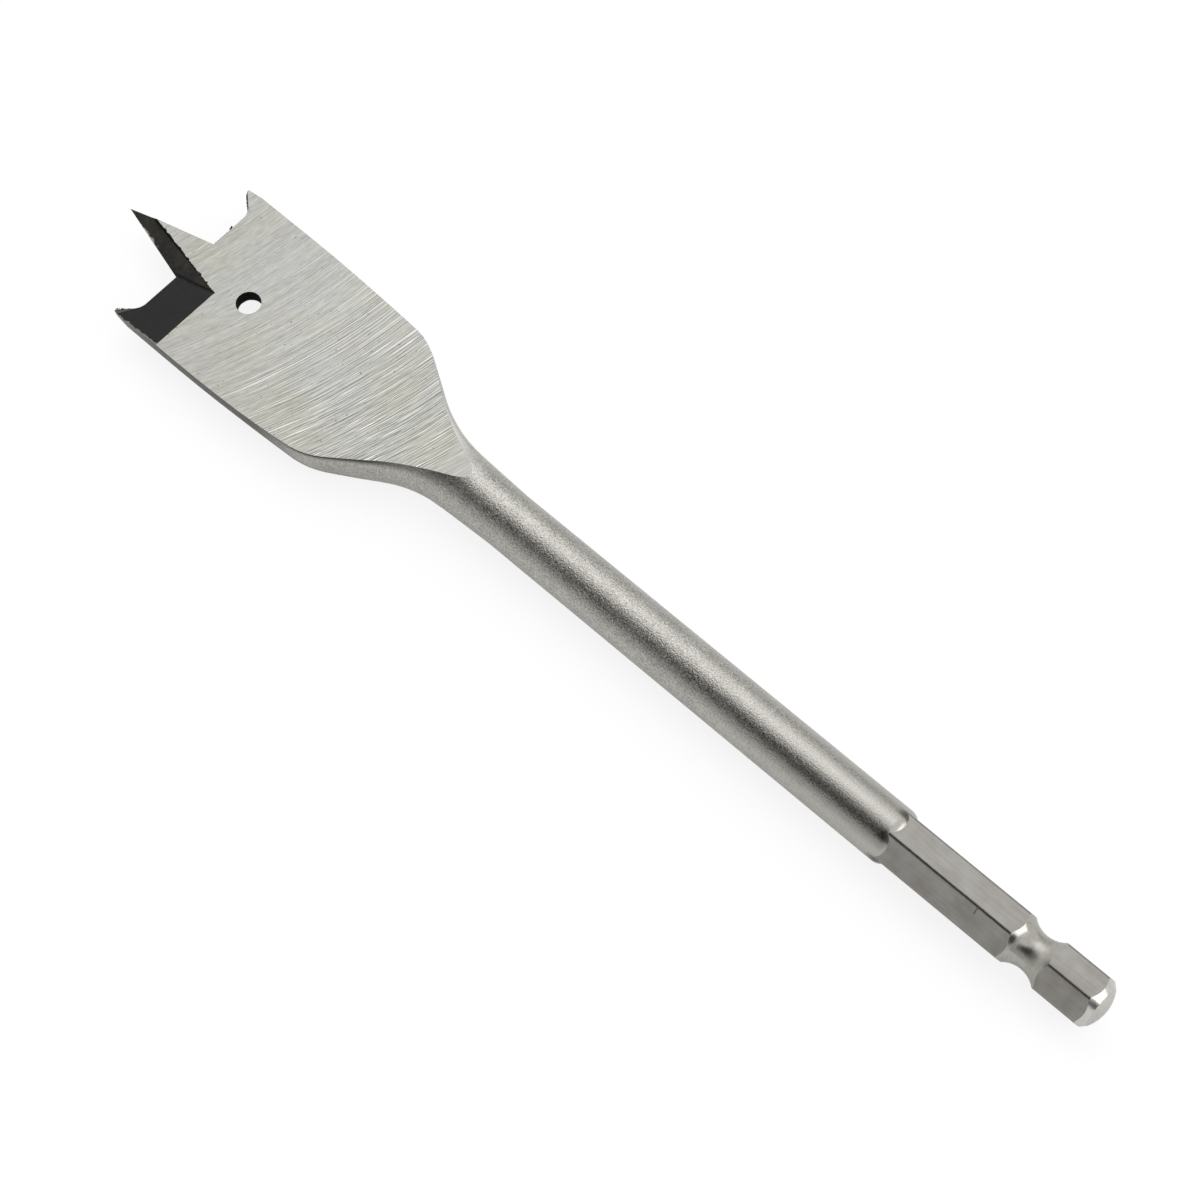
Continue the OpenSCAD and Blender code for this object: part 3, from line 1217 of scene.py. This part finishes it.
@dataclass
class Studio:
    """Camera, pale floor and soft light, in the frame of the bit."""

    camera_at: Triple = (132.603, -113.383, 345.624)
    right: Triple = (0.726191, 0.685744, -0.049015)
    down: Triple = (0.598084, -0.6653, -0.446847)
    forward: Triple = (-0.339032, 0.295181, -0.893267)
    focal_px: float = 3274.536
    frame_px: float = 1200.0
    floor_half: float = 2.5
    paper: str = "#F6F6F6"
    glow: float = 1.08
    seen_share: float = 0.78
    mirrored_share: float = 0.35
    lamps: tuple[Lamp, ...] = (
        Lamp("softbox", (-0.29, 0.31, 0.62), 0.5, 0.78),
        Lamp("side_softbox", (0.70, 0.26, 0.21), 0.52, 1.7),
    )
    bright_from: Triple = (-0.25, 0.44, 0.86)
    sky_borders: Pair = (-0.3, 0.75)
    sky_levels: Pair = (0.58, 1.0)
    dark_patches: tuple[DarkPatch, ...] = (
        DarkPatch((-0.30, -0.52, 0.80), 0.82, 0.94),
        DarkPatch((0.05, -0.66, 0.75), 0.90, 0.975, 0.25),
        DarkPatch((0.40, -0.66, 0.63), 0.93, 0.985, 0.40),
        DarkPatch((0.92, -0.27, 0.25), 0.945, 0.985, 0.1),
        DarkPatch((-0.30, 0.95, 0.02), 0.86, 0.98, 0.45),
    )

    def camera(self) -> bpy.types.Object:
        """Places the camera as the photograph was taken.

        Returns:
            The camera object.
        """
        data = bpy.data.cameras.new("camera")
        data.sensor_width = 36.0
        data.lens = self.focal_px * data.sensor_width / self.frame_px
        data.clip_start = 0.01
        data.clip_end = 20.0
        camera = bpy.data.objects.new("camera", data)
        axes = Matrix((self.right, -Vector(self.down), -Vector(self.forward))).transposed()
        camera.matrix_world = Matrix.Translation(Vector(self.camera_at) * MM) @ axes.to_4x4()
        bpy.context.scene.collection.objects.link(camera)
        bpy.context.scene.camera = camera
        return camera

    def floor(self) -> bpy.types.Object:
        """Lays the pale floor under the bit.

        Returns:
            The floor object.
        """
        h = self.floor_half
        mesh = bpy.data.meshes.new("floor")
        mesh.from_pydata([(-h, -h, 0), (h, -h, 0), (h, h, 0), (-h, h, 0)], [], [(0, 1, 2, 3)])
        floor = bpy.data.objects.new("floor", mesh)
        bpy.context.scene.collection.objects.link(floor)
        # white paper: matt, with a share of plain white that keeps a soft shadow
        material = bpy.data.materials.new("white_paper")
        material.use_nodes = True
        tree = material.node_tree
        tree.nodes.clear()
        paper = add_node(tree, "ShaderNodeBsdfDiffuse", {"Color": linear(self.paper)})
        glow = add_node(tree, "ShaderNodeEmission", {"Color": (1, 1, 1, 1), "Strength": self.glow})
        path = add_node(tree, "ShaderNodeLightPath")
        rays = (path.outputs["Is Glossy Ray"], path.outputs["Is Transmission Ray"])
        mirrored = add_node(tree, MATH, rays, operation="MAXIMUM")
        mirrored = add_node(tree, MATH, (mirrored, self.mirrored_share), operation="MULTIPLY")
        seen = (path.outputs["Is Camera Ray"], self.seen_share, mirrored)
        share = add_node(tree, MATH, seen, operation="MULTIPLY_ADD")
        mixed = add_node(tree, "ShaderNodeMixShader", (share, paper, glow))
        add_node(tree, "ShaderNodeOutputMaterial", {"Surface": mixed})
        mesh.materials.append(material)
        return floor

    def towards(self, tree: bpy.types.NodeTree, direction: Triple) -> Socket:
        """Cosine between the looked-at part of the room and a direction.

        Args:
            tree: Tree of the world.
            direction: The direction.

        Returns:
            The cosine.
        """
        source = add_node(tree, "ShaderNodeTexCoord")
        aim = {0: source.outputs["Generated"], 1: Vector(direction).normalized()}
        return add_node(tree, "ShaderNodeVectorMath", aim, operation="DOT_PRODUCT").outputs["Value"]

    def light(self) -> None:
        """Sets the soft surrounding light with its dark patches, and the lamps."""
        world = bpy.data.worlds.new("studio")
        bpy.context.scene.world = world
        world.use_nodes = True
        tree = world.node_tree
        tree.nodes.clear()
        sky = (self.towards(tree, self.bright_from), *self.sky_borders, *self.sky_levels)
        level = add_node(tree, RANGE, sky, interpolation_type="SMOOTHSTEP")
        for patch in self.dark_patches:
            dark = (self.towards(tree, patch.towards), patch.outer, patch.inner, 1.0, patch.left)
            shade = add_node(tree, RANGE, dark, interpolation_type="SMOOTHSTEP")
            level = add_node(tree, MATH, (level, shade), operation="MULTIPLY")
        path = add_node(tree, "ShaderNodeLightPath")
        seen = {0: path.outputs["Is Camera Ray"], 2: level, 3: 1.0}
        strength = add_node(tree, MIX, seen, data_type="FLOAT")
        back = add_node(tree, "ShaderNodeBackground", {"Color": (1, 1, 1, 1), "Strength": strength})
        add_node(tree, "ShaderNodeOutputWorld", {"Surface": back})
        for lamp in self.lamps:
            lamp.build()


def burr_lines() -> list[EdgeBurrs]:
    """Lists the burrs and chips of the cutting edges, on both halves of the bit.

    Returns:
        One line of burrs for each edge and half.
    """
    pale = PALE_BURR.material()
    black = BLACK_BURR.material()
    s = SIZES
    top = s.face_height
    # name, path from the tip as distance, width and height, number of burrs, their size and material
    rows = [
        ("far_lip_burrs", [(12.15, 3.4, top), (12.15, 8.6, top), (11.8, 9.6, top)], 18, 0.06, black),
        ("far_lip_speck", [(12.15, 5.9, top), (12.05, 6.3, top)], 8, 0.18, black),
        ("spur_burrs", [(9.4, -11.2, 0.0), (10.5, -10.2, 0.0), (11.7, -9.3, 0.05)], 34, 0.11, black),
        ("spur_chips", [(9.5, -11.1, 0.06), (10.3, -10.4, 0.06)], 5, 0.09, pale),
        ("point_chips", [(2.6, -s.edge_width(2.6), s.point_edge), (6.4, -s.edge_width(6.4), s.point_edge)],
         34, 0.06, pale),
        # black crumbs strewn thickly along the valley between the facets, a dark line that stands for painted
        # shade of the crease
        ("valley_shade_crumbs", [s.valley_point(11.9), s.valley_point(17.4)], 70, 0.10, black),
        ("wall_burrs", [(11.0, s.wall_width(11.0), top), (15.4, s.wall_width(15.4), top)], 34, 0.08, black),
        ("wall_chips", [(12.6, s.wall_width(12.6), top), (14.6, s.wall_width(14.6), top)], 9, 0.07, pale),
        ("hole_burrs", [s.hole_point(turn) for turn in range(-60, 100, 20)], 26, 0.06, black),
    ]
    lines = []
    for name, path, count, size, material in rows:
        for half in Half:
            turned = [(a, half.value * w, half.value * h) for a, w, h in path]
            title = f"{name}_{half.name.lower()}"
            lines.append(EdgeBurrs(title, turned, count, size, len(lines), material))
    return lines


def main() -> None:
    """Builds, dresses and places the bit, then sets the camera and the light."""
    logging.basicConfig(level=logging.INFO, format="%(message)s")
    scene = bpy.context.scene
    scene.view_settings.view_transform = "Standard"
    bit = BitBody()
    body = bit.build(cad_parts[NODE])
    bit.dress(body)
    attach(body, BODY)
    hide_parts(NODE)
    LOG.info("%s: %d faces", body.name, len(body.data.polygons))
    for line in burr_lines():
        burrs = line.build()
        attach(burrs, BODY)
        LOG.info("%s: %d faces", burrs.name, len(burrs.data.polygons))
    studio = Studio()
    studio.camera()
    studio.floor()
    studio.light()


if __name__ == "__main__":
    main()
